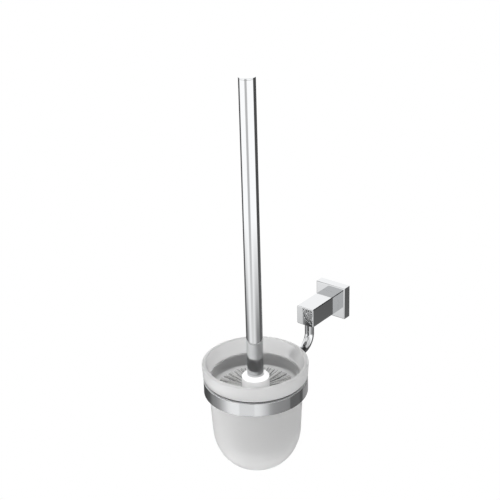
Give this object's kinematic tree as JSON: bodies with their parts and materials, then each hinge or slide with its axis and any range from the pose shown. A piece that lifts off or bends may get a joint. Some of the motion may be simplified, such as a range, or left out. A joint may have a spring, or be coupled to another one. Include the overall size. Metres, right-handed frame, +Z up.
{
  "type": "toilet brush holder",
  "caption": "Wall-mounted toilet brush holder: square bracket arm, bent rod and ring holding a frosted glass cup, with a long-handled white brush that lifts out and unscrews from its handle.",
  "frame": {"origin": "on the wall, at the centre of the back of the wall bracket and of the square wall plate", "axes": "+Y into the wall, so the holder stands out towards -Y; +Z up, along the brush handle; +X to the right of someone facing the wall"},
  "size_m": [0.1032, 0.19, 0.395],
  "materials": {
    "chrome": "polished",
    "cast_zinc": "matte",
    "screw_steel": "satin",
    "elastomer": "matte",
    "frosted_glass": "matte",
    "white_plastic": "satin",
    "bristle": "satin",
    "brass": "satin"
  },
  "bodies": {
    "holder": {"wall_bracket": "cast_zinc", "wall_plate": "chrome", "grub_screw": "screw_steel", "post": "chrome", "post_screw": "screw_steel", "rod_set_screw": "screw_steel", "bent_rod": "chrome", "ring_band": "chrome", "ring_screw": "screw_steel", "ring_liner": "elastomer"},
    "cup": {"glass_cup": "frosted_glass"},
    "brush_head": {"brush_body": "white_plastic", "bristle_row_1": "bristle", "bristle_row_2": "bristle", "bristle_row_3": "bristle", "bristle_row_4": "bristle", "bristle_row_5": "bristle", "bristle_row_6": "bristle", "end_tuft": "bristle"},
    "seal": {"seat_washer": "elastomer"},
    "handle": {"handle_tube": "chrome", "handle_cap": "chrome", "handle_insert": "brass"}
  },
  "joints": [
    {"name": "cup_lift", "type": "slide", "parent": "holder", "child": "cup", "axis": [0, 0, 1], "range_m": [0, 0.1]},
    {"name": "brush_lift", "type": "slide", "parent": "cup", "child": "brush_head", "axis": [0, 0, 1], "range_m": [0, 0.11]},
    {"name": "handle_turn", "type": "hinge", "parent": "brush_head", "child": "seal", "pos_m": [0, -0.1384, -0.0291], "axis": [0, 0, 1], "range_deg": [0, 2880]},
    {"name": "handle_rise", "type": "slide", "parent": "seal", "child": "handle", "axis": [0, 0, 1], "range_m": [0, 0.0161]}
  ],
  "couplings": [
    {"joint": "handle_rise", "follows": "handle_turn", "m_per_rad": 0.00031831}
  ]
}
